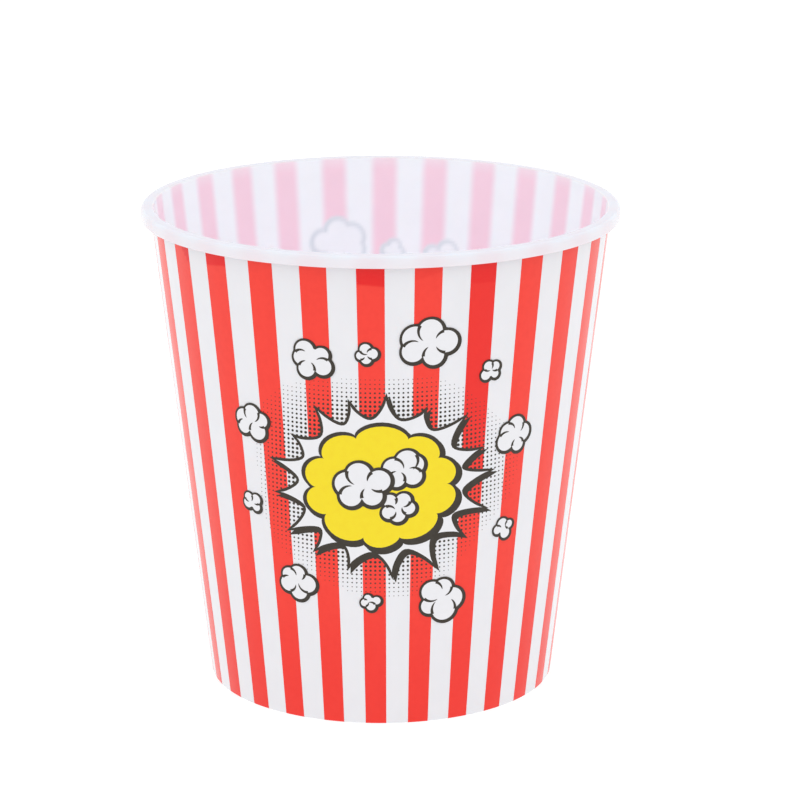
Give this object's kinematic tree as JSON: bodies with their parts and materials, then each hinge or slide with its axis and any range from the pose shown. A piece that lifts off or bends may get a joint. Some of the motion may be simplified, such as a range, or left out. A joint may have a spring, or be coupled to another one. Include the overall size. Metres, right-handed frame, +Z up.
{
  "type": "popcorn bucket",
  "caption": "Empty tapered popcorn bucket moulded in one piece of white plastic, with a flanged lip, a raised floor and a striped print with a cartoon burst of popcorn.",
  "frame": {"origin": "centre of the foot ring, on the surface that the bucket stands on", "axes": "+Z up along the bucket's axis, towards the open mouth; the printed front faces -Y; +X is to the right when the front is seen"},
  "size_m": [0.18, 0.18, 0.1837],
  "materials": {
    "white_plastic": "glossy, slightly translucent moulded polypropylene",
    "red_print": "glossy red of the label moulded into the wall",
    "yellow_print": "glossy yellow of the label moulded into the wall",
    "dark_print": "glossy dark grey outline of the label moulded into the wall",
    "white_print": "glossy opaque white of the label moulded into the wall"
  },
  "bodies": {
    "root": {"bucket": "white_plastic"}
  },
  "joints": []
}
